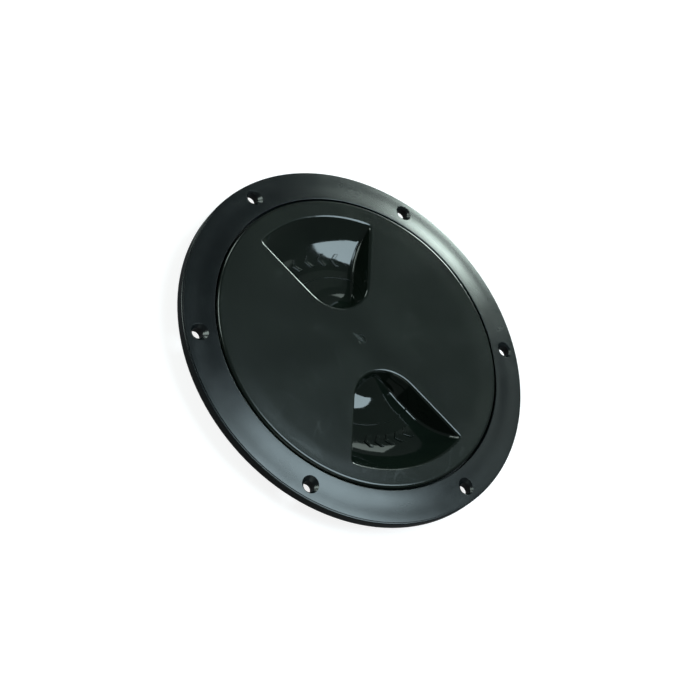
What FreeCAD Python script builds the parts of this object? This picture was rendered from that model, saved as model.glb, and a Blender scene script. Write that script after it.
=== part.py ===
import FreeCAD, Part
import math
import os
import Sketcher

# Round screw-in deck hatch: a flange ring that is screwed to the deck, a lid with a threaded skirt
# and two finger pockets, and the O-ring between them.
#
# Frame: millimetres, +Z up out of the deck.  The origin is the centre of the flange's underside,
# so Z = 0 is the deck surface.  One screw hole lies on +X.

# Driving sizes: alias, millimetres (degrees for angles, a plain count for counts), meaning.
DRIVING_SIZES = [
    ("screw_circle_radius", 92.5, "centres of the six screw holes"),
    ("screw_count", 6, "screw holes"),
    ("screw_hole_radius", 3.0, "through part of a screw hole"),
    ("countersink_radius", 4.6, "countersink at the flange top"),
    ("screw_boss_radius", 5.2, "boss round each screw hole, under the flange"),
    ("flange_outer_radius", 100.0, "outer wall of the flange"),
    ("flange_shoulder_radius", 99.0, "outer edge of the sloping top"),
    ("flange_inner_radius", 82.7, "wall of the recess that takes the lid's rim"),
    ("flange_inner_height", 7.1, "flange top at its inner edge"),
    ("flange_screw_height", 6.0, "flange top at the screw circle"),
    ("flange_outer_height", 5.1, "flange top at its outer edge"),
    ("shoulder_height", 4.7, "small step round the outer edge"),
    ("shoulder_round", 0.7, "rounding of that step"),
    ("recess_edge_round", 0.4, "rounding of the recess's upper edge"),
    ("flange_wall", 2.9, "moulded wall of the flange"),
    ("ledge_height", 2.4, "seat of the O-ring, above the deck"),
    ("ledge_chamfer", 0.6, "lead-in at the ledge's inner edge"),
    ("channel_inner_radius", 85.6, "core-out under the flange, inner side"),
    ("rib_count", 18, "ribs across the core-out"),
    ("rib_start_angle", 10.0, "first rib, from the screw hole on +X"),
    ("rib_thickness", 1.8, "one rib"),
    ("collar_outer_radius", 79.5, "collar that drops through the deck"),
    ("collar_inner_radius", 76.2, "root of the collar's thread"),
    ("collar_depth", 10.5, "collar below the deck surface"),
    ("thread_pitch", 5.0, "rise in one turn, right-hand"),
    ("thread_rise", 6.25, "helix height of either thread ridge"),
    ("thread_reach", 1.7, "ridge height off its wall"),
    ("thread_base_width", 2.6, "ridge width at its wall"),
    ("thread_crest_width", 1.2, "ridge width at its crest"),
    ("thread_sink", 0.3, "how far a ridge is rooted into its wall"),
    ("collar_thread_start", -8.6, "middle of the collar's ridge at its lower end"),
    ("lid_top", 8.1, "top face of the lid"),
    ("lid_radius", 81.7, "side wall of the lid"),
    ("lid_edge_round", 1.6, "rounding of the lid's upper edge"),
    ("gate_recess_radius", 2.6, "shallow dish round the moulding gate, in the lid's middle"),
    ("gate_recess_depth", 0.3, "depth of that dish"),
    ("gate_stub_radius", 0.8, "trimmed stub of the gate"),
    ("gate_stub_height", 0.2, "how far the stub stands off the dish"),
    ("lid_rim_underside", 5.2, "face that presses on the O-ring"),
    ("lid_plate", 3.0, "thickness of the lid's plate"),
    ("skirt_outer_radius", 74.0, "root of the lid's thread"),
    ("skirt_wall", 2.8, "wall of the skirt"),
    ("skirt_bottom", -8.5, "lower edge of the skirt"),
    ("skirt_chamfer", 0.7, "lead-in at the skirt's lower edge"),
    ("neck_radius", 76.5, "neck that carries the O-ring"),
    ("neck_bottom", 2.75, "lower face of the neck"),
    ("seal_inner_radius", 76.6, "O-ring, inside"),
    ("seal_width", 3.2, "O-ring section across, squeezed"),
    ("seal_side_radius", 1.45, "rounded sides of that section"),
    ("pocket_angle", 162.5, "middle of the first finger pocket, from +X"),
    ("pocket_depth", 12.2, "pocket floor below the lid's top"),
    ("pocket_rim_radius", 71.7, "outer rim of a pocket, about the lid's axis"),
    ("pocket_flat_radius", 46.2, "where the floor starts to rise to that rim"),
    ("pocket_half_angle", 27.5, "half the angle between the two side walls"),
    ("pocket_point_offset", 5.5, "where the side walls would meet, past the lid's axis"),
    ("pocket_nose_radius", 20.5, "rounded inner end of a pocket"),
    ("pocket_draft", 14.0, "slope of the side walls"),
    ("pocket_inner_flat_radius", 36.3, "where the floor starts to rise inwards"),
    ("pocket_inner_sweep", 22.0, "radius of that inner rise"),
    ("pocket_floor_round", 1.4, "hollow between the floor and the walls"),
    ("pocket_rim_round", 1.5, "rounding of a pocket's upper edge"),
    ("cup_wall", 2.4, "wall of the cup that forms a pocket"),
    ("stiffener_thickness", 2.0, "rib across the lid's underside"),
    ("stiffener_height", 4.5, "depth of that rib below the plate"),
    ("stiffener_spread", 22.0, "angle from each rib to the line across the pockets"),
    ("mark_radius", 52.0, "middle of the raised chevrons, about the lid's axis"),
    ("mark_height", 0.6, "how far the chevrons stand off the floor"),
    ("mark_span", 6.4, "chevron size along the radius"),
    ("mark_reach", 4.6, "chevron size along its direction"),
    ("mark_stroke", 2.1, "chevron stroke, along its direction"),
    ("mark_round", 0.25, "rounding of a chevron's upper edges"),
    ("line_radius", 42.2, "raised line across a pocket floor"),
    ("line_width", 0.8, "width of that line"),
    ("line_height", 0.35, "height of that line"),
]

OPEN_MARKS = 4
CLOSE_MARKS = 5
MARKS_ARC = 28.0        # degrees from the first chevron to the last
OVERLAP = 1.0           # how far a cutting shape runs past the face it cuts
WEDGE_OVERRUN = 12.0    # how far a pocket's wedge runs past its rim
EDGE_TOLERANCE = 1e-3
SMOOTH_ANGLE = math.radians(3)      # faces that meet at less than this need no rounding


class Size(float):
    """A number that also carries the sheet expression it comes from."""

    def __new__(cls, value, text):
        size = float.__new__(cls, value)
        size.text = text
        return size

    def __add__(self, other):
        return Size(float(self) + float(other), f"({self.text} + {text_of(other)})")

    def __sub__(self, other):
        return Size(float(self) - float(other), f"({self.text} - {text_of(other)})")

    def __mul__(self, other):
        return Size(float(self) * float(other), f"({self.text} * {text_of(other)})")

    def __truediv__(self, other):
        return Size(float(self) / float(other), f"({self.text} / {text_of(other)})")

    def __neg__(self):
        return Size(-float(self), f"(0 - {self.text})")


def text_of(number):
    return number.text if isinstance(number, Size) else repr(float(number))


def sine(degrees):
    return Size(math.sin(math.radians(degrees)), f"sin({text_of(degrees)})")


def cosine(degrees):
    return Size(math.cos(math.radians(degrees)), f"cos({text_of(degrees)})")


def tangent(degrees):
    return Size(math.tan(math.radians(degrees)), f"tan({text_of(degrees)})")


def root(number):
    return Size(math.sqrt(number), f"sqrt({text_of(number)})")


class Sizes:
    """The driving sizes, one attribute for each alias of the sheet."""

    def __init__(self, doc):
        sheet = doc.addObject("Spreadsheet::Sheet", "sizes")
        for row, (alias, value, meaning) in enumerate(DRIVING_SIZES, start=1):
            sheet.set(f"A{row}", alias)
            sheet.set(f"B{row}", str(value))
            sheet.set(f"C{row}", meaning)
            sheet.setAlias(f"B{row}", alias)
            setattr(self, alias, Size(value, f"<<sizes>>.{alias}"))
        doc.recompute()


def bind(thing, path, size):
    thing.setExpression(path, size.text)


def turned(degrees):
    return FreeCAD.Placement(
        FreeCAD.Vector(), FreeCAD.Rotation(FreeCAD.Vector(0, 0, 1), float(degrees)))


def new_body(doc, name):
    body = doc.addObject("PartDesign::Body", name)
    body.Label = name
    doc.recompute()
    return body


def origin_feature(body, role):
    return next(item for item in body.Origin.OriginFeatures if item.Role == role)


def arc_through(start, end, bend):
    """Arc of radius abs(bend) from start to end, turning left where bend is positive."""
    chord = end - start
    middle = (start + end) * 0.5
    radius = abs(float(bend))
    height = math.sqrt(max(radius ** 2 - (chord.Length / 2) ** 2, 0.0))
    left = FreeCAD.Vector(-chord.y, chord.x, 0).normalize()
    centre = middle + left * math.copysign(height, bend)
    circle = Part.Circle(centre, FreeCAD.Vector(0, 0, 1), radius)
    first, last = (start, end) if bend > 0 else (end, start)
    return Part.ArcOfCircle(circle, circle.parameter(first), circle.parameter(last))


def draw_outline(sketch, corners):
    """Close the corners with edges, each corner bound to its expressions.

    A corner is (x, y), or (x, y, bend) where the edge that leaves it is an arc.
    """
    points = [FreeCAD.Vector(float(corner[0]), float(corner[1]), 0) for corner in corners]
    ends = []
    for index, corner in enumerate(corners):
        start = points[index]
        end = points[(index + 1) % len(points)]
        bend = corner[2] if len(corner) > 2 else 0
        edge = arc_through(start, end, bend) if bend else Part.LineSegment(start, end)
        sketch.addGeometry(edge)
        ends.append((2, 1) if bend < 0 else (1, 2))
    for index in range(len(corners)):
        after = (index + 1) % len(corners)
        sketch.addConstraint(
            Sketcher.Constraint("Coincident", index, ends[index][1], after, ends[after][0]))
    for index, corner in enumerate(corners):
        start = ends[index][0]
        for kind, coordinate in (("DistanceX", corner[0]), ("DistanceY", corner[1])):
            place = Sketcher.Constraint(kind, -1, 1, index, start, float(coordinate))
            number = sketch.addConstraint(place)
            if isinstance(coordinate, Size):
                bind(sketch, f"Constraints[{number}]", coordinate)
        if len(corner) > 2:
            bend = corner[2]
            radius = bend if bend > 0 else -bend
            number = sketch.addConstraint(Sketcher.Constraint("Radius", index, float(radius)))
            bind(sketch, f"Constraints[{number}]", radius)


def body_sketch(body, name, role, corners, offset=None):
    sketch = body.newObject("Sketcher::SketchObject", name)
    sketch.AttachmentSupport = (origin_feature(body, role), [""])
    sketch.MapMode = "FlatFace"
    if offset is not None:
        sketch.AttachmentOffset = offset
    draw_outline(sketch, corners)
    body.Document.recompute()
    return sketch


def revolve(body, name, corners):
    """Turn a section, drawn as radius and height, about Z."""
    sketch = body_sketch(body, name + "_section", "XZ_Plane", corners)
    feature = body.newObject("PartDesign::Revolution", name)
    feature.Profile = sketch
    feature.ReferenceAxis = (sketch, ["V_Axis"])
    feature.Angle = 360.0
    body.Document.recompute()
    body.Tip = feature


def pattern_about_z(body, name, features, count):
    pattern = body.newObject("PartDesign::PolarPattern", name)
    pattern.Originals = features
    pattern.Axis = (origin_feature(body, "Z_Axis"), [""])
    pattern.Angle = 360.0
    pattern.Occurrences = int(count)
    bind(pattern, "Occurrences", count)
    body.Tip = pattern
    body.Document.recompute()


def add_thread(body, name, wall_radius, direction, start, size):
    """Helical ridge on a wall: direction is 1 where it stands outwards, -1 inwards."""
    root_radius = wall_radius - size.thread_sink * direction
    crest_radius = wall_radius + size.thread_reach * direction
    half_base = size.thread_base_width / 2
    half_crest = size.thread_crest_width / 2
    corners = [
        (root_radius, start - half_base),
        (crest_radius, start - half_crest),
        (crest_radius, start + half_crest),
        (root_radius, start + half_base),
    ]
    sketch = body_sketch(body, name + "_section", "XZ_Plane", corners)
    ridge = body.newObject("PartDesign::AdditiveHelix", name)
    ridge.Profile = sketch
    ridge.ReferenceAxis = (sketch, ["V_Axis"])
    ridge.Mode = "pitch-height-angle"
    ridge.Pitch = float(size.thread_pitch)
    ridge.Height = float(size.thread_rise)
    bind(ridge, "Pitch", size.thread_pitch)
    bind(ridge, "Height", size.thread_rise)
    body.Tip = ridge
    body.Document.recompute()


def make_deck_ring(doc, size):
    """Flange with a sloping top and a cored underside, recess and ledge, threaded collar."""
    body = new_body(doc, "deck_ring")
    wall_inside = size.flange_outer_radius - size.flange_wall
    fall = size.flange_inner_height - size.flange_outer_height
    slope = fall / (size.flange_shoulder_radius - size.flange_inner_radius)

    def core_top(radius):
        """Ceiling of the core-out, one wall below the flange's top."""
        from_recess = radius - size.flange_inner_radius
        return size.flange_inner_height - slope * from_recess - size.flange_wall

    revolve(body, "ring_blank", [
        (size.collar_inner_radius, -size.collar_depth),
        (size.collar_outer_radius, -size.collar_depth),
        (size.collar_outer_radius, 0),
        (size.channel_inner_radius, 0),
        (size.channel_inner_radius, core_top(size.channel_inner_radius)),
        (wall_inside, core_top(wall_inside)),
        (wall_inside, 0),
        (size.flange_outer_radius, 0),
        (size.flange_outer_radius, size.shoulder_height - size.shoulder_round, size.shoulder_round),
        (size.flange_outer_radius - size.shoulder_round, size.shoulder_height),
        (size.flange_shoulder_radius, size.shoulder_height),
        (size.flange_shoulder_radius, size.flange_outer_height),
        (size.flange_inner_radius + size.recess_edge_round, size.flange_inner_height,
         size.recess_edge_round),
        (size.flange_inner_radius, size.flange_inner_height - size.recess_edge_round),
        (size.flange_inner_radius, size.ledge_height),
        (size.collar_inner_radius + size.ledge_chamfer, size.ledge_height),
        (size.collar_inner_radius, size.ledge_height - size.ledge_chamfer),
    ])
    inside_top = core_top(size.channel_inner_radius) + OVERLAP / 2
    add_core_ribs(body, wall_inside, inside_top, size)
    add_screw_holes(body, inside_top, size)
    add_thread(body, "collar_thread", size.collar_inner_radius, -1, size.collar_thread_start, size)
    return body


def add_core_ribs(body, wall_inside, inside_top, size):
    """Radial ribs that stiffen the flange between its inner and outer walls."""
    half = size.rib_thickness / 2
    inner = size.channel_inner_radius - OVERLAP
    outer = wall_inside + OVERLAP
    sketch = body_sketch(
        body, "rib_outline", "XY_Plane",
        [(inner, -half), (outer, -half), (outer, half), (inner, half)],
        turned(size.rib_start_angle))
    rib = body.newObject("PartDesign::Pad", "core_rib")
    rib.Profile = sketch
    bind(rib, "Length", inside_top)
    body.Document.recompute()
    pattern_about_z(body, "core_ribs", [rib], size.rib_count)


def add_screw_holes(body, inside_top, size):
    """Countersunk holes on the screw circle, each in a boss that reaches down to the deck."""
    boss = body.newObject("PartDesign::AdditiveCylinder", "screw_boss")
    bind(boss, "Radius", size.screw_boss_radius)
    bind(boss, "Height", inside_top)
    bind(boss, "Placement.Base.x", size.screw_circle_radius)
    body.Document.recompute()
    pattern_about_z(body, "screw_bosses", [boss], size.screw_count)
    shank = body.newObject("PartDesign::SubtractiveCylinder", "screw_shank")
    bind(shank, "Radius", size.screw_hole_radius)
    bind(shank, "Height", size.flange_screw_height + OVERLAP)
    shank.Placement.Base.z = -OVERLAP
    head = body.newObject("PartDesign::SubtractiveCone", "screw_head")
    sink_depth = size.countersink_radius - size.screw_hole_radius
    bind(head, "Radius1", size.screw_hole_radius)
    bind(head, "Radius2", size.countersink_radius + OVERLAP)
    bind(head, "Height", sink_depth + OVERLAP)
    bind(head, "Placement.Base.z", size.flange_screw_height - sink_depth)
    for cutter in (shank, head):
        bind(cutter, "Placement.Base.x", size.screw_circle_radius)
    body.Document.recompute()
    pattern_about_z(body, "screw_holes", [shank, head], size.screw_count)


def make_lid_seal(doc, size):
    """O-ring in its squeezed state, flat where it touches the ledge and the lid's rim."""
    body = new_body(doc, "lid_seal")
    half_height = (size.lid_rim_underside - size.ledge_height) / 2
    inner_flat = size.seal_inner_radius + half_height
    outer_flat = size.seal_inner_radius + size.seal_width - half_height
    revolve(body, "seal_ring", [
        (inner_flat, size.ledge_height),
        (outer_flat, size.ledge_height, size.seal_side_radius),
        (outer_flat, size.lid_rim_underside),
        (inner_flat, size.lid_rim_underside, size.seal_side_radius),
    ])
    return body


def make_lid_blank(doc, size):
    """Plate, rounded rim, O-ring neck and skirt, turned in one piece, with the gate in its middle."""
    body = new_body(doc, "lid_blank")
    plate_bottom = size.lid_top - size.lid_plate
    skirt_inner = size.skirt_outer_radius - size.skirt_wall
    dish = size.lid_top - size.gate_recess_depth
    revolve(body, "lid_turned", [
        (0, plate_bottom),
        (skirt_inner, plate_bottom),
        (skirt_inner, size.skirt_bottom),
        (size.skirt_outer_radius - size.skirt_chamfer, size.skirt_bottom),
        (size.skirt_outer_radius, size.skirt_bottom + size.skirt_chamfer),
        (size.skirt_outer_radius, size.neck_bottom),
        (size.neck_radius, size.neck_bottom),
        (size.neck_radius, size.lid_rim_underside),
        (size.lid_radius, size.lid_rim_underside),
        (size.lid_radius, size.lid_top - size.lid_edge_round, size.lid_edge_round),
        (size.lid_radius - size.lid_edge_round, size.lid_top),
        (size.gate_recess_radius, size.lid_top),
        (size.gate_recess_radius, dish),
        (size.gate_stub_radius, dish),
        (size.gate_stub_radius, dish + size.gate_stub_height),
        (0, dish + size.gate_stub_height),
    ])
    return body


def make_bowl(doc, name, drop, top, size):
    """Turned shape of the pocket floors, drop below them, closed at the height top.

    The floor is flat in the middle and rises along an arc to the pocket's outer rim, and along
    another towards the lid's axis.
    """
    run = size.pocket_rim_radius - size.pocket_flat_radius
    rise = size.pocket_depth
    outer_sweep = (run * run + rise * rise) / (rise * 2)
    floor = size.lid_top - size.pocket_depth

    def arc_radius_and_reach(sweep):
        """Radius of an arc that leaves the floor level, and how far out it meets the top."""
        radius = sweep + drop
        below_centre = floor + sweep - top
        return radius, root(radius * radius - below_centre * below_centre)

    inner_radius, inner_reach = arc_radius_and_reach(size.pocket_inner_sweep)
    outer_radius, outer_reach = arc_radius_and_reach(outer_sweep)
    body = new_body(doc, name)
    revolve(body, name + "_turned", [
        (size.pocket_inner_flat_radius - inner_reach, top, inner_radius),
        (size.pocket_inner_flat_radius, floor - drop),
        (size.pocket_flat_radius, floor - drop, outer_radius),
        (size.pocket_flat_radius + outer_reach, top),
    ])
    return body


def make_wedge(doc, name, growth, top, depth, size):
    """Drafted wedge about +X with a rounded nose, whose walls close in downwards.

    Growth is how far it stands outside the pocket's outline, at the height top.
    """
    body = new_body(doc, name)
    half = size.pocket_half_angle
    nose = size.pocket_nose_radius + growth
    point = size.pocket_point_offset + growth / sine(half)
    nose_centre = nose / sine(half) - point
    side_start_x = nose_centre - nose * sine(half)
    side_start_y = nose * cosine(half)
    side_end_x = size.pocket_rim_radius + WEDGE_OVERRUN
    side_end_y = (side_end_x + point) * tangent(half)
    raised = FreeCAD.Placement(FreeCAD.Vector(0, 0, float(top)), FreeCAD.Rotation())
    sketch = body_sketch(body, name + "_outline", "XY_Plane", [
        (side_start_x, -side_start_y),
        (side_end_x, -side_end_y),
        (side_end_x, side_end_y),
        (side_start_x, side_start_y, nose),
    ], raised)
    bind(sketch, "AttachmentOffset.Base.z", top)
    pad = body.newObject("PartDesign::Pad", name + "_pad")
    pad.Profile = sketch
    pad.Reversed = True
    bind(pad, "Length", depth)
    bind(pad, "TaperAngle", -size.pocket_draft)
    body.Tip = pad
    doc.recompute()
    return body


def combine(doc, kind, name, **links):
    """Boolean of whole shapes, such as a cut or a fuse."""
    result = doc.addObject(kind, name)
    for link, value in links.items():
        setattr(result, link, value)
    doc.recompute()
    return result


def round_edges(doc, name, base, rules):
    """Fillet the edges of base, and those they run into without a corner.

    A rule is (radius, wanted).  Where two rules meet on one run of edges, the later one changes
    the radius smoothly towards its own edges.
    """
    fillets = []
    for radius, wanted in rules:
        for number, edge in enumerate(base.Shape.Edges, start=1):
            if wanted(edge):
                fillets.append((number, float(radius), float(radius)))
    fillet = doc.addObject("Part::Fillet", name)
    fillet.Base = base
    fillet.Edges = fillets
    doc.recompute()
    return fillet


def is_sharp(shape, edge):
    """Whether the two faces that share an edge meet at a corner."""
    middle = edge.valueAt((edge.FirstParameter + edge.LastParameter) / 2)
    faces = shape.ancestorsOfType(edge, Part.Face)
    normals = [face.normalAt(*face.Surface.parameter(middle)) for face in faces]
    return len(normals) == 2 and normals[0].getAngle(normals[1]) > SMOOTH_ANGLE


def make_hollow(doc, name, drop, growth, top, size):
    """One pocket's shape about +X, where a wedge and a bowl overlap; drop sets it off outwards."""
    bowl = make_bowl(doc, name + "_bowl", drop, top, size)
    floor = size.lid_top - size.pocket_depth - drop
    wedge = make_wedge(doc, name + "_wedge", growth, top, top - floor + OVERLAP, size)
    sharp = combine(doc, "Part::Common", name + "_sharp", Base=wedge, Tool=bowl)

    def beside_floor(edge):
        """The edges between the floor and the walls."""
        return edge.BoundBox.ZMin < top - EDGE_TOLERANCE and is_sharp(sharp.Shape, edge)

    return round_edges(doc, name, sharp, [(size.pocket_floor_round + drop, beside_floor)])


def make_chevrons(doc, name, count, direction, size):
    """Raised chevrons along an arc about the lid's axis.

    Seen from above they point counter-clockwise where direction is 1, clockwise where it is -1.
    """
    floor = size.lid_top - size.pocket_depth
    half_span = size.mark_span / 2
    half_reach = size.mark_reach / 2
    tip = half_reach * direction
    stroke = size.mark_stroke * direction
    corners = [
        (size.mark_radius - half_span, -tip),
        (size.mark_radius - half_span, stroke - tip),
        (size.mark_radius, tip),
        (size.mark_radius + half_span, stroke - tip),
        (size.mark_radius + half_span, -tip),
        (size.mark_radius, tip - stroke),
    ]
    prisms = []
    for index in range(count):
        angle = MARKS_ARC * (index / (count - 1) - 0.5)
        sketch = doc.addObject("Sketcher::SketchObject", f"{name}_outline_{index + 1}")
        draw_outline(sketch, corners)
        sketch.Placement = turned(angle)
        bind(sketch, "Placement.Base.z", floor - OVERLAP)
        prism = doc.addObject("Part::Extrusion", f"{name}_{index + 1}")
        prism.Base = sketch
        prism.Dir = FreeCAD.Vector(0, 0, 1)
        prism.Solid = True
        bind(prism, "LengthFwd", size.pocket_depth)
        prisms.append(prism)
    doc.recompute()
    return combine(doc, "Part::MultiFuse", name + "_prisms", Shapes=prisms)


def make_floor_line(doc, size):
    """Thin raised line round the lid's axis, which crosses both pocket floors."""
    floor = size.lid_top - size.pocket_depth
    half = size.line_width / 2
    body = new_body(doc, "floor_line")
    revolve(body, "floor_line_turned", [
        (size.line_radius - half, floor - OVERLAP),
        (size.line_radius + half, floor - OVERLAP),
        (size.line_radius + half, floor + size.line_height),
        (size.line_radius - half, floor + size.line_height),
    ])
    return body


def make_pockets(doc, size):
    """The two finger pockets as cutting shapes, each with its raised marks left standing."""
    top = size.lid_top + OVERLAP
    growth = tangent(size.pocket_draft) * OVERLAP
    hollow = make_hollow(doc, "pocket", 0, growth, top, size)
    above_marks = make_bowl(doc, "mark_ceiling", -size.mark_height, top, size)
    line = make_floor_line(doc, size)
    lined = combine(doc, "Part::Cut", "pocket_with_line", Base=hollow, Tool=line)
    above_floor = size.lid_top - size.pocket_depth + size.mark_height / 2

    def on_top(edge):
        """The chevrons' upper edges."""
        return edge.BoundBox.ZMin > above_floor

    pockets = []
    for name, count, direction in (("open", OPEN_MARKS, 1), ("close", CLOSE_MARKS, -1)):
        prisms = make_chevrons(doc, name + "_mark", count, direction, size)
        sharp = combine(doc, "Part::Cut", name + "_sharp_marks", Base=prisms, Tool=above_marks)
        marks = round_edges(doc, name + "_marks", sharp, [(size.mark_round, on_top)])
        pocket = combine(doc, "Part::Cut", name + "_pocket", Base=lined, Tool=marks)
        half_turn = 180.0 * len(pockets)
        pocket.Placement = turned(size.pocket_angle + half_turn)
        pockets.append(pocket)
    doc.recompute()
    return pockets


def make_cups(doc, size):
    """The cups under the plate that the pockets are hollowed out of."""
    inside_plate = size.lid_top - size.lid_plate / 2
    growth = size.cup_wall / cosine(size.pocket_draft)
    growth = growth - tangent(size.pocket_draft) * (size.lid_plate / 2)
    cup = make_hollow(doc, "cup", size.cup_wall, growth, inside_plate, size)
    cups = []
    for index in range(2):
        copy = doc.addObject("Part::Feature", f"cup_{index + 1}")
        copy.Shape = cup.Shape
        copy.Placement = turned(size.pocket_angle + 180.0 * index)
        cups.append(copy)
    return cups


def make_stiffeners(doc, size):
    """Two ribs across the underside, from skirt to skirt, that pass between the cups."""
    ribs = []
    length = (size.skirt_outer_radius - size.skirt_wall / 2) * 2
    for name, side in (("stiffener_1", 1), ("stiffener_2", -1)):
        rib = doc.addObject("Part::Box", name)
        bind(rib, "Length", length)
        bind(rib, "Width", size.stiffener_thickness)
        bind(rib, "Height", size.stiffener_height + size.lid_plate / 2)
        low = size.lid_top - size.lid_plate - size.stiffener_height
        angle = size.pocket_angle + 90.0 + size.stiffener_spread * side
        corner = FreeCAD.Vector(-length / 2, -size.stiffener_thickness / 2, float(low))
        rib.Placement = turned(angle).multiply(FreeCAD.Placement(corner, FreeCAD.Rotation()))
        ribs.append(rib)
    doc.recompute()
    return ribs


def make_lid(doc, size):
    """Plate, rim and skirt with two finger pockets and the outside thread."""
    blank = make_lid_blank(doc, size)
    with_cups = combine(
        doc, "Part::MultiFuse", "lid_with_cups",
        Shapes=[blank] + make_cups(doc, size) + make_stiffeners(doc, size))
    hollowed = with_cups
    for index, pocket in enumerate(make_pockets(doc, size), start=1):
        hollowed = combine(doc, "Part::Cut", f"lid_hollowed_{index}", Base=hollowed, Tool=pocket)

    def on_pocket_rim(edge):
        box = edge.BoundBox
        at_top = abs(box.ZMin - size.lid_top) + abs(box.ZMax - size.lid_top) < EDGE_TOLERANCE
        radii = [math.hypot(corner.X, corner.Y) for corner in edge.Vertexes]
        off_gate = min(radii) > size.gate_recess_radius + OVERLAP
        return at_top and off_gate and max(radii) < size.skirt_outer_radius

    softened = round_edges(
        doc, "lid_softened", hollowed, [(size.pocket_rim_round, on_pocket_rim)])
    thread_body = new_body(doc, "lid_thread_body")
    start = size.collar_thread_start + size.thread_pitch / 2
    add_thread(thread_body, "lid_thread", size.skirt_outer_radius, 1, start, size)
    return combine(doc, "Part::MultiFuse", "lid", Shapes=[softened, thread_body])


def check_document(doc, nodes):
    for item in doc.Objects:
        if "Invalid" in item.State or "Error" in item.State:
            raise RuntimeError(f"{item.Name} failed: {item.State}")
    for node in nodes:
        shape = node.Shape
        if shape.isNull() or not shape.isValid() or len(shape.Solids) != 1:
            raise RuntimeError(f"{node.Label} isn't one valid solid")


def main():
    doc = FreeCAD.newDocument("deck_hatch")
    size = Sizes(doc)
    nodes = [make_deck_ring(doc, size), make_lid_seal(doc, size), make_lid(doc, size)]
    doc.recompute()
    check_document(doc, nodes)
    os.makedirs("parts", exist_ok=True)
    for node in nodes:
        node.Shape.exportStep(os.path.join("parts", node.Label + ".step"))
        print(f"{node.Label}: {node.Shape.Volume / 1000:.1f} cm3")


main()
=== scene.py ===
import math

import bpy
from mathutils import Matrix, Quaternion, Vector


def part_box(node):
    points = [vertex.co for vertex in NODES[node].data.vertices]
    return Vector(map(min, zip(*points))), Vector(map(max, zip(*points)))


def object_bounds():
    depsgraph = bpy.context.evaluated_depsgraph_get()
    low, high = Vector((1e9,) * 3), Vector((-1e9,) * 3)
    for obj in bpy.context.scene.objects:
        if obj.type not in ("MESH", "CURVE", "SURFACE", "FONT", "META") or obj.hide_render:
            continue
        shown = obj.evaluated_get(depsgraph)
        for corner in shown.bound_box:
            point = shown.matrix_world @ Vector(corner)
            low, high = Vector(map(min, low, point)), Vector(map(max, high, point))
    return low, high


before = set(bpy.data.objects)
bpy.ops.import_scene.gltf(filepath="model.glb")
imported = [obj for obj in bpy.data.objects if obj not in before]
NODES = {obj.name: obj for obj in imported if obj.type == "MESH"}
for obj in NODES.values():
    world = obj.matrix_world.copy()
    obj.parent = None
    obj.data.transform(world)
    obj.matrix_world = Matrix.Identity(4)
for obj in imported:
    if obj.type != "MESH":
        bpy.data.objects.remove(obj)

# Looks of the round screw-in deck hatch: plastics, rubber, floor, light and camera.
# Metres, +Z up out of the deck, in the frame of the CAD model.

CAD_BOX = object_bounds()

MM = 0.001

# Places on the hatch, from the CAD model's own boxes.
LID_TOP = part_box("lid")[1].z
LID_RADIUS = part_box("lid")[1].x
RING_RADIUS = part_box("deck_ring")[1].x
POCKET_REACH = LID_RADIUS - 9.5 * MM        # no pocket goes further out than this
GATE_REACH = 6.0 * MM                       # the dish of the moulding gate lies well inside this

# Shallow reliefs that only the reflections show.
SINK_RADIUS = RING_RADIUS - 8.7 * MM        # middle of the sink between the flange's two walls
SINK_WIDTH = 13.5 * MM
SINK_DEPTH = 0.19 * MM
RIM_FALL_WIDTH = 12 * MM                    # the lid's top falls away towards its rim
RIM_FALL_DEPTH = 0.17 * MM

# Pale smear beside the gate: its middle on the lid, its turn from X in degrees, and its half
# length and half width.
SMEAR_CENTRE = (-1.5 * MM, -0.8 * MM, 0.0)
SMEAR_ANGLE = 22
SMEAR_SIZE = (5.5 * MM, 1.5 * MM)

# Colours of the plastics and the rubber, dark and pale, and how rough they are.
LID_TONES = ((0.0028, 0.0053, 0.0038), (0.0043, 0.0074, 0.0051))
RING_TONES = ((0.0021, 0.0036, 0.0041), (0.0035, 0.0056, 0.006))
SEAL_TONES = ((0.006, 0.006, 0.0065), (0.016, 0.016, 0.016))
SMEAR_TONE = (0.03, 0.036, 0.034)
LID_SATIN = 0.19
RING_SATIN = 0.25
LID_UNDERSIDE = 0.34
RING_UNDERSIDE = 0.36
POLISHED = (0.045, 0.075)
SEAL_ROUGHNESS = (0.5, 0.68)
PLASTIC_IOR = 1.5
RUBBER_IOR = 1.48

# Camera: the point it looks at, where it stands from there, and its lens and sensor in millimetres.
VIEW_TARGET = Vector((0.0012, -0.0089, 0.006))
VIEW_DISTANCE = 0.9743
VIEW_AZIMUTH = math.radians(6.65)
VIEW_ELEVATION = math.radians(49.25)
VIEW_ROLL = math.radians(48.74)
LENS = 98.3
SENSOR = 36.0

# Floor and sky.
FLOOR_GAP = 0.1 * MM
FLOOR_SIZE = 12.0
FLOOR_TONE = (0.3, 0.3, 0.3)
FLOOR_GLOW = 0.85
SKY_TONE = (0.1, 0.108, 0.112)

# Panel over the hatch: its edges are angles off the vertical in degrees, along X and along Y.
PANEL_HEIGHT = 1.6
PANEL_EDGES_X = (-3, 35)
PANEL_EDGES_Y = (-3, 31)
PANEL_RADIANCE = 7.4
PANEL_TINT = (0.78, 1.0, 1.08)

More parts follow.
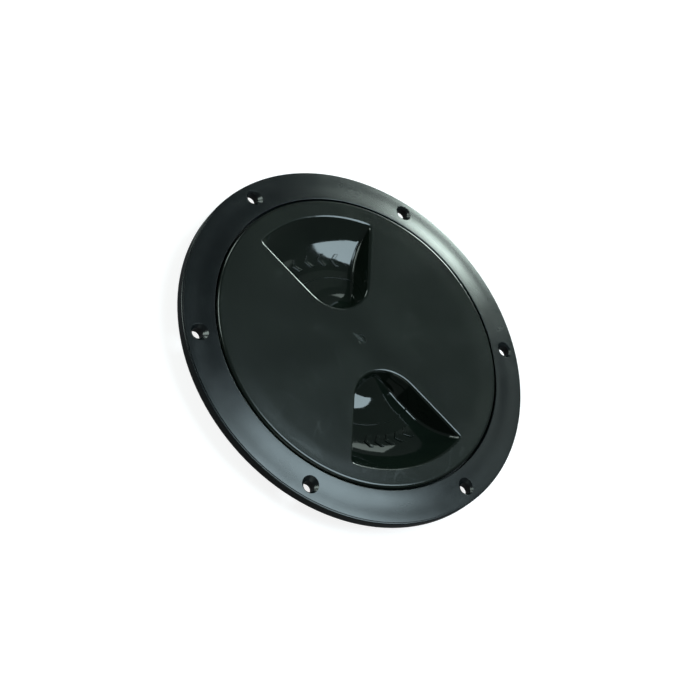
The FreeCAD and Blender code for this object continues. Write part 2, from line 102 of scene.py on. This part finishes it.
# Softboxes round the hatch: azimuth, elevation, width and height in degrees, and radiance.
SOFTBOX_DISTANCE = 1.6
SOFTBOX_TINT = (0.83, 1.0, 0.93)
SOFTBOXES = {
    "back_strip": (99.5, 16.5, 10, 32, 16.0),
    "back_left_patch": (112, 26, 9, 12, 1.8),
    "left_strip": (168, 12, 14, 16, 6.0),
    "near_left_strip": (204, 23, 24, 20, 7.0),
    "far_patch": (76, 40, 16, 14, 0.55),
    "far_left_patch": (108, 52, 10, 14, 0.1),
    "near_fill": (315, 20, 44, 24, 0.6),
}


def direction(azimuth_degrees, elevation_degrees):
    """Unit vector towards a place in the studio; azimuth counts from +X towards +Y."""
    azimuth = math.radians(azimuth_degrees)
    elevation = math.radians(elevation_degrees)
    return Vector((
        math.cos(elevation) * math.cos(azimuth),
        math.cos(elevation) * math.sin(azimuth),
        math.sin(elevation)))


class Shader:
    """A material's node tree, built one node at a time."""

    def __init__(self, name):
        self.material = bpy.data.materials.new(name)
        self.material.use_nodes = True
        self.tree = self.material.node_tree
        self.tree.nodes.clear()
        self.place = self.add("ShaderNodeTexCoord")
        split = self.add("ShaderNodeSeparateXYZ", Vector=self.place.outputs["Object"])
        self.x, self.y, self.z = split.outputs
        across = self.math("ADD", self.math("MULTIPLY", self.x, self.x),
                           self.math("MULTIPLY", self.y, self.y))
        self.radius = self.math("SQRT", across)

    def add(self, kind, settings=None, numbered=(), **named):
        """A node whose inputs are numbers, colours or the outputs of other nodes."""
        node = self.tree.nodes.new(kind)
        for name, value in (settings or {}).items():
            setattr(node, name, value)
        wanted = list(enumerate(numbered))
        wanted += [(name.replace("_", " "), value) for name, value in named.items()]
        for key, value in wanted:
            self.put(value, node.inputs[key])
        return node

    def put(self, value, socket):
        """Link another node's output to the socket, or set a number or a colour on it."""
        if isinstance(value, bpy.types.NodeSocket):
            self.tree.links.new(value, socket)
        else:
            socket.default_value = value

    def math(self, operation, first, second=0.0):
        return self.add("ShaderNodeMath", {"operation": operation}, (first, second)).outputs[0]

    def spread(self, value, low, high, to_low=0.0, to_high=1.0):
        """Value eased from the range low..high to the range to_low..to_high."""
        settings = {"clamp": True, "interpolation_type": "SMOOTHSTEP"}
        node = self.add("ShaderNodeMapRange", settings, Value=value, From_Min=low, From_Max=high,
                        To_Min=to_low, To_Max=to_high)
        return node.outputs["Result"]

    def mix(self, amount, first, second):
        """First where amount is 0, second where it is 1."""
        step = self.math("SUBTRACT", second, first)
        return self.math("ADD", first, self.math("MULTIPLY", amount, step))

    def blend(self, amount, first, second):
        """The same for colours."""
        node = self.add("ShaderNodeMix", {"data_type": "RGBA"})
        factor, first_colour, second_colour = 0, 6, 7
        for key, value in ((factor, amount), (first_colour, first), (second_colour, second)):
            self.put(value, node.inputs[key])
        return node.outputs[2]

    def noise(self, size, detail=2.0, sharpness=0.5, point=None):
        """Noise from 0 to 1, whose blobs are about size metres across."""
        node = self.add("ShaderNodeTexNoise", Vector=point or self.place.outputs["Object"],
                        Scale=1.0 / size, Detail=detail, Roughness=sharpness)
        return node.outputs["Fac"]

    def flow(self, along, across):
        """Noise drawn out round the hatch's axis, as plastic flows in a ring-shaped mould.

        Along is the number of blobs in one radian, and across is their width in metres.
        """
        safe = self.math("MAXIMUM", self.radius, MM)
        point = self.add("ShaderNodeCombineXYZ", numbered=(
            self.math("MULTIPLY", self.math("DIVIDE", self.x, safe), along),
            self.math("MULTIPLY", self.math("DIVIDE", self.y, safe), along),
            self.math("DIVIDE", self.radius, across)))
        return self.noise(1.0, detail=3.0, point=point.outputs[0])

    def drawn_out(self, angle_degrees, size, centre=(0.0, 0.0, 0.0)):
        """Place as seen from centre, turned about Z, with size as its units along each axis."""
        turn = self.add("ShaderNodeMapping", {"vector_type": "TEXTURE"},
                        Vector=self.place.outputs["Object"], Location=centre,
                        Rotation=(0.0, 0.0, math.radians(angle_degrees)), Scale=size)
        return turn.outputs[0]

    def scratches(self, angle_degrees, length, spacing):
        """Fine straight lines, 1 on a line and 0 beside it, in broken runs."""
        point = self.drawn_out(angle_degrees, (length, spacing, length))
        line = self.noise(1.0, detail=1.0, point=point)
        off_line = self.math("ABSOLUTE", self.math("SUBTRACT", line, 0.5))
        drawn = self.spread(off_line, 0.0, 0.012, 1.0, 0.0)
        unbroken = self.spread(self.noise(length / 2), 0.52, 0.6)
        return self.math("MULTIPLY", drawn, unbroken)

    def bump(self, height, distance, normal=None, strength=1.0):
        """Surface normal of a height from 0 to 1, distance metres deep."""
        node = self.add("ShaderNodeBump", Height=height, Distance=distance, Strength=strength)
        if normal is not None:
            self.tree.links.new(normal, node.inputs["Normal"])
        return node.outputs["Normal"]

    def soft_edges(self, width):
        """Normals that round every sharp edge by width."""
        return self.add("ShaderNodeBevel", {"samples": 6}, Radius=width).outputs["Normal"]

    def facing_up(self):
        """1 on surfaces that look up out of the deck, the pockets' steep walls among them."""
        normal = self.add("ShaderNodeSeparateXYZ", Vector=self.place.outputs["Normal"])
        return self.spread(normal.outputs["Z"], 0.02, 0.12)

    def finish(self, **surface):
        base = self.add("ShaderNodeBsdfPrincipled", **surface)
        self.add("ShaderNodeOutputMaterial", Surface=base.outputs[0])
        return self.material


def opaque(tone):
    return (*tone, 1.0)


def moulded_tone(shader, dark, pale):
    """Black plastic whose pigment is slightly uneven."""
    cloud = shader.spread(shader.noise(28 * MM, 4.0, 0.6), 0.3, 0.7)
    speck = shader.spread(shader.noise(0.8 * MM, 2.0), 0.62, 0.72, 0.0, 0.5)
    amount = shader.math("ADD", cloud, speck)
    return shader.blend(amount, opaque(dark), opaque(pale))


def pocket_mask(shader, up):
    """1 on the pockets' walls, floors and upper edges, 0 on the lid's top, gate and outer rim."""
    below_top = shader.spread(shader.z, LID_TOP - 0.15 * MM, LID_TOP - 0.01 * MM, 1.0, 0.0)
    inside_rim = shader.spread(shader.radius, POCKET_REACH - 0.5 * MM, POCKET_REACH, 1.0, 0.0)
    off_gate = shader.spread(shader.radius, GATE_REACH / 3, GATE_REACH)
    in_band = shader.math("MULTIPLY", inside_rim, off_gate)
    return shader.math("MULTIPLY", up, shader.math("MULTIPLY", below_top, in_band))


def gate_smear(shader):
    """Soft mottled streak beside the gate: 0 off it, and up to 1 in its middle."""
    flattened = 1.0                         # a metre, so height hardly counts
    point = shader.drawn_out(SMEAR_ANGLE, (*SMEAR_SIZE, flattened), SMEAR_CENTRE)
    off_centre = shader.add("ShaderNodeVectorMath", {"operation": "LENGTH"}, Vector=point)
    smear = shader.spread(off_centre.outputs["Value"], 0.1, 1.1, 1.0, 0.0)
    mottle = shader.spread(shader.noise(1.6 * MM, 3.0, 0.6), 0.3, 0.6, 0.35, 1.0)
    return shader.math("MULTIPLY", smear, mottle)


def make_lid_plastic():
    """Satin top with a fine grain, polished pockets, duller underside."""
    shader = Shader("lid_plastic")
    up = shader.facing_up()
    in_pocket = pocket_mask(shader, up)
    smear = gate_smear(shader)

    smudge = shader.spread(shader.noise(22 * MM, 5.0, 0.6), 0.35, 0.7, -0.012, 0.015)
    scuffs = shader.math("MAXIMUM", shader.scratches(24, 60 * MM, 9 * MM),
                         shader.scratches(118, 45 * MM, 14 * MM))
    satin = shader.math("ADD", LID_SATIN, smudge)
    satin = shader.math("ADD", satin, shader.math("MULTIPLY", scuffs, 0.05))
    satin = shader.math("ADD", satin, shader.math("MULTIPLY", smear, 0.07))
    polished = shader.spread(shader.noise(9 * MM, 3.0), 0.3, 0.7, *POLISHED)
    outside = shader.mix(up, LID_UNDERSIDE, satin)
    rough = shader.mix(in_pocket, outside, polished)

    grain = shader.noise(0.35 * MM, 3.0, 0.6)
    grain_strength = shader.mix(in_pocket, 1.0, 0.06)
    waves = shader.noise(5 * MM, 1.0)
    edges = shader.soft_edges(0.12 * MM)
    waved = shader.bump(waves, 0.01 * MM, edges)
    fall = shader.spread(shader.radius, LID_RADIUS - RIM_FALL_WIDTH, LID_RADIUS)
    fallen = shader.bump(shader.math("MULTIPLY", fall, up), -RIM_FALL_DEPTH, waved)
    scuffed = shader.bump(shader.math("MULTIPLY", scuffs, grain_strength), -0.001 * MM, fallen)
    grained = shader.bump(grain, 0.002 * MM, scuffed, grain_strength)

    tone = shader.blend(smear, moulded_tone(shader, *LID_TONES), opaque(SMEAR_TONE))
    return shader.finish(Base_Color=tone, Roughness=rough, IOR=PLASTIC_IOR, Normal=grained)


def make_ring_plastic():
    """Satin flange with flow lines round it, duller underside."""
    shader = Shader("ring_plastic")
    up = shader.facing_up()
    lines = shader.flow(5.0, 1.6 * MM)
    clouds = shader.flow(2.2, 7 * MM)
    smudge = shader.spread(shader.noise(16 * MM, 5.0, 0.6), 0.35, 0.7, -0.02, 0.025)
    streak = shader.spread(lines, 0.35, 0.7, -0.008, 0.008)
    satin = shader.math("ADD", shader.math("ADD", RING_SATIN, smudge), streak)
    rough = shader.mix(up, RING_UNDERSIDE, satin)

    edges = shader.soft_edges(0.15 * MM)
    waved = shader.bump(clouds, 0.03 * MM, edges)
    off_sink = shader.math("SUBTRACT", shader.radius, SINK_RADIUS)
    sink = shader.math("COSINE", shader.math("MULTIPLY", off_sink, 2 * math.pi / SINK_WIDTH))
    sunk = shader.bump(shader.math("MULTIPLY", sink, up), -SINK_DEPTH / 2, waved)
    lined = shader.bump(lines, 0.001 * MM, sunk)
    grained = shader.bump(shader.noise(0.4 * MM, 3.0, 0.6), 0.002 * MM, lined)

    tone = moulded_tone(shader, *RING_TONES)
    return shader.finish(Base_Color=tone, Roughness=rough, IOR=PLASTIC_IOR, Normal=grained)


def make_seal_rubber():
    """Black nitrile with a dull bloom."""
    shader = Shader("seal_rubber")
    bloom = shader.spread(shader.noise(6 * MM, 5.0, 0.65), 0.4, 0.7)
    pits = shader.noise(0.25 * MM, 2.0, 0.7)
    lines = shader.flow(9.0, 0.5 * MM)
    rough = shader.mix(bloom, *SEAL_ROUGHNESS)
    lined = shader.bump(lines, 0.015 * MM)
    pitted = shader.bump(pits, 0.02 * MM, lined)
    tone = shader.blend(bloom, *map(opaque, SEAL_TONES))
    return shader.finish(Base_Color=tone, Roughness=rough, IOR=RUBBER_IOR, Normal=pitted)


def dress(node, material):
    mesh = NODES[node].data
    mesh.materials.clear()
    mesh.materials.append(material)


def add_panel(name, centre, facing, width, height, radiance, tint):
    """Rectangular softbox at centre; facing is the unit vector from the hatch towards it."""
    light = bpy.data.lights.new(name, "AREA")
    light.shape = "RECTANGLE"
    light.size = width
    light.size_y = height
    light.energy = radiance * math.pi * width * height
    light.color = tint
    lamp = bpy.data.objects.new(name, light)
    lamp.location = centre
    lamp.rotation_mode = "QUATERNION"
    lamp.rotation_quaternion = facing.to_track_quat("Z", "Y")
    bpy.context.scene.collection.objects.link(lamp)


def add_softbox(name, azimuth, elevation, wide, high, radiance):
    """Softbox that fills wide by high degrees of the view from the hatch."""
    towards = direction(azimuth, elevation)
    width, height = (
        2 * SOFTBOX_DISTANCE * math.tan(math.radians(angle / 2)) for angle in (wide, high))
    add_panel(name, towards * SOFTBOX_DISTANCE, towards, width, height, radiance, SOFTBOX_TINT)


def add_overhead_panel():
    left, right = (PANEL_HEIGHT * math.tan(math.radians(edge)) for edge in PANEL_EDGES_X)
    near, far = (PANEL_HEIGHT * math.tan(math.radians(edge)) for edge in PANEL_EDGES_Y)
    middle = Vector(((left + right) / 2, (near + far) / 2, PANEL_HEIGHT))
    add_panel("overhead_panel", middle, Vector((0, 0, 1)), right - left, far - near,
              PANEL_RADIANCE, PANEL_TINT)


def add_lights():
    """One panel overhead, then softboxes behind the hatch, on its left and in front."""
    add_overhead_panel()
    for name, place in SOFTBOXES.items():
        add_softbox(name, *place)


def add_floor():
    """White ground that the plastic doesn't mirror and that throws no light back on it."""
    half = FLOOR_SIZE / 2
    level = CAD_BOX[0].z - FLOOR_GAP
    mesh = bpy.data.meshes.new("floor")
    corners = [(-half, -half, level), (half, -half, level),
               (half, half, level), (-half, half, level)]
    mesh.from_pydata(corners, [], [(0, 1, 2, 3)])
    floor = bpy.data.objects.new("floor", mesh)
    bpy.context.scene.collection.objects.link(floor)
    mesh.materials.append(Shader("floor_paper").finish(
        Base_Color=opaque(FLOOR_TONE), Roughness=0.9,
        Emission_Color=(1.0, 1.0, 1.0, 1.0), Emission_Strength=FLOOR_GLOW))
    floor.visible_glossy = False
    floor.visible_diffuse = False


def add_world():
    world = bpy.data.worlds.new("studio")
    world.use_nodes = True
    background = world.node_tree.nodes["Background"]
    background.inputs["Color"].default_value = opaque(SKY_TONE)
    background.inputs["Strength"].default_value = 1.0
    bpy.context.scene.world = world


def add_camera():
    back = Vector((
        math.cos(VIEW_ELEVATION) * math.sin(VIEW_AZIMUTH),
        -math.cos(VIEW_ELEVATION) * math.cos(VIEW_AZIMUTH),
        math.sin(VIEW_ELEVATION)))
    lens = bpy.data.cameras.new("camera")
    lens.lens = LENS
    lens.sensor_width = SENSOR
    camera = bpy.data.objects.new("camera", lens)
    camera.location = VIEW_TARGET + back * VIEW_DISTANCE
    camera.rotation_mode = "QUATERNION"
    upright = back.to_track_quat("Z", "Y")
    camera.rotation_quaternion = upright @ Quaternion((0.0, 0.0, 1.0), VIEW_ROLL)
    bpy.context.scene.collection.objects.link(camera)
    bpy.context.scene.camera = camera


dress("deck_ring", make_ring_plastic())
dress("lid", make_lid_plastic())
dress("lid_seal", make_seal_rubber())
add_world()
add_floor()
add_lights()
add_camera()
bpy.context.scene.view_settings.view_transform = "Standard"
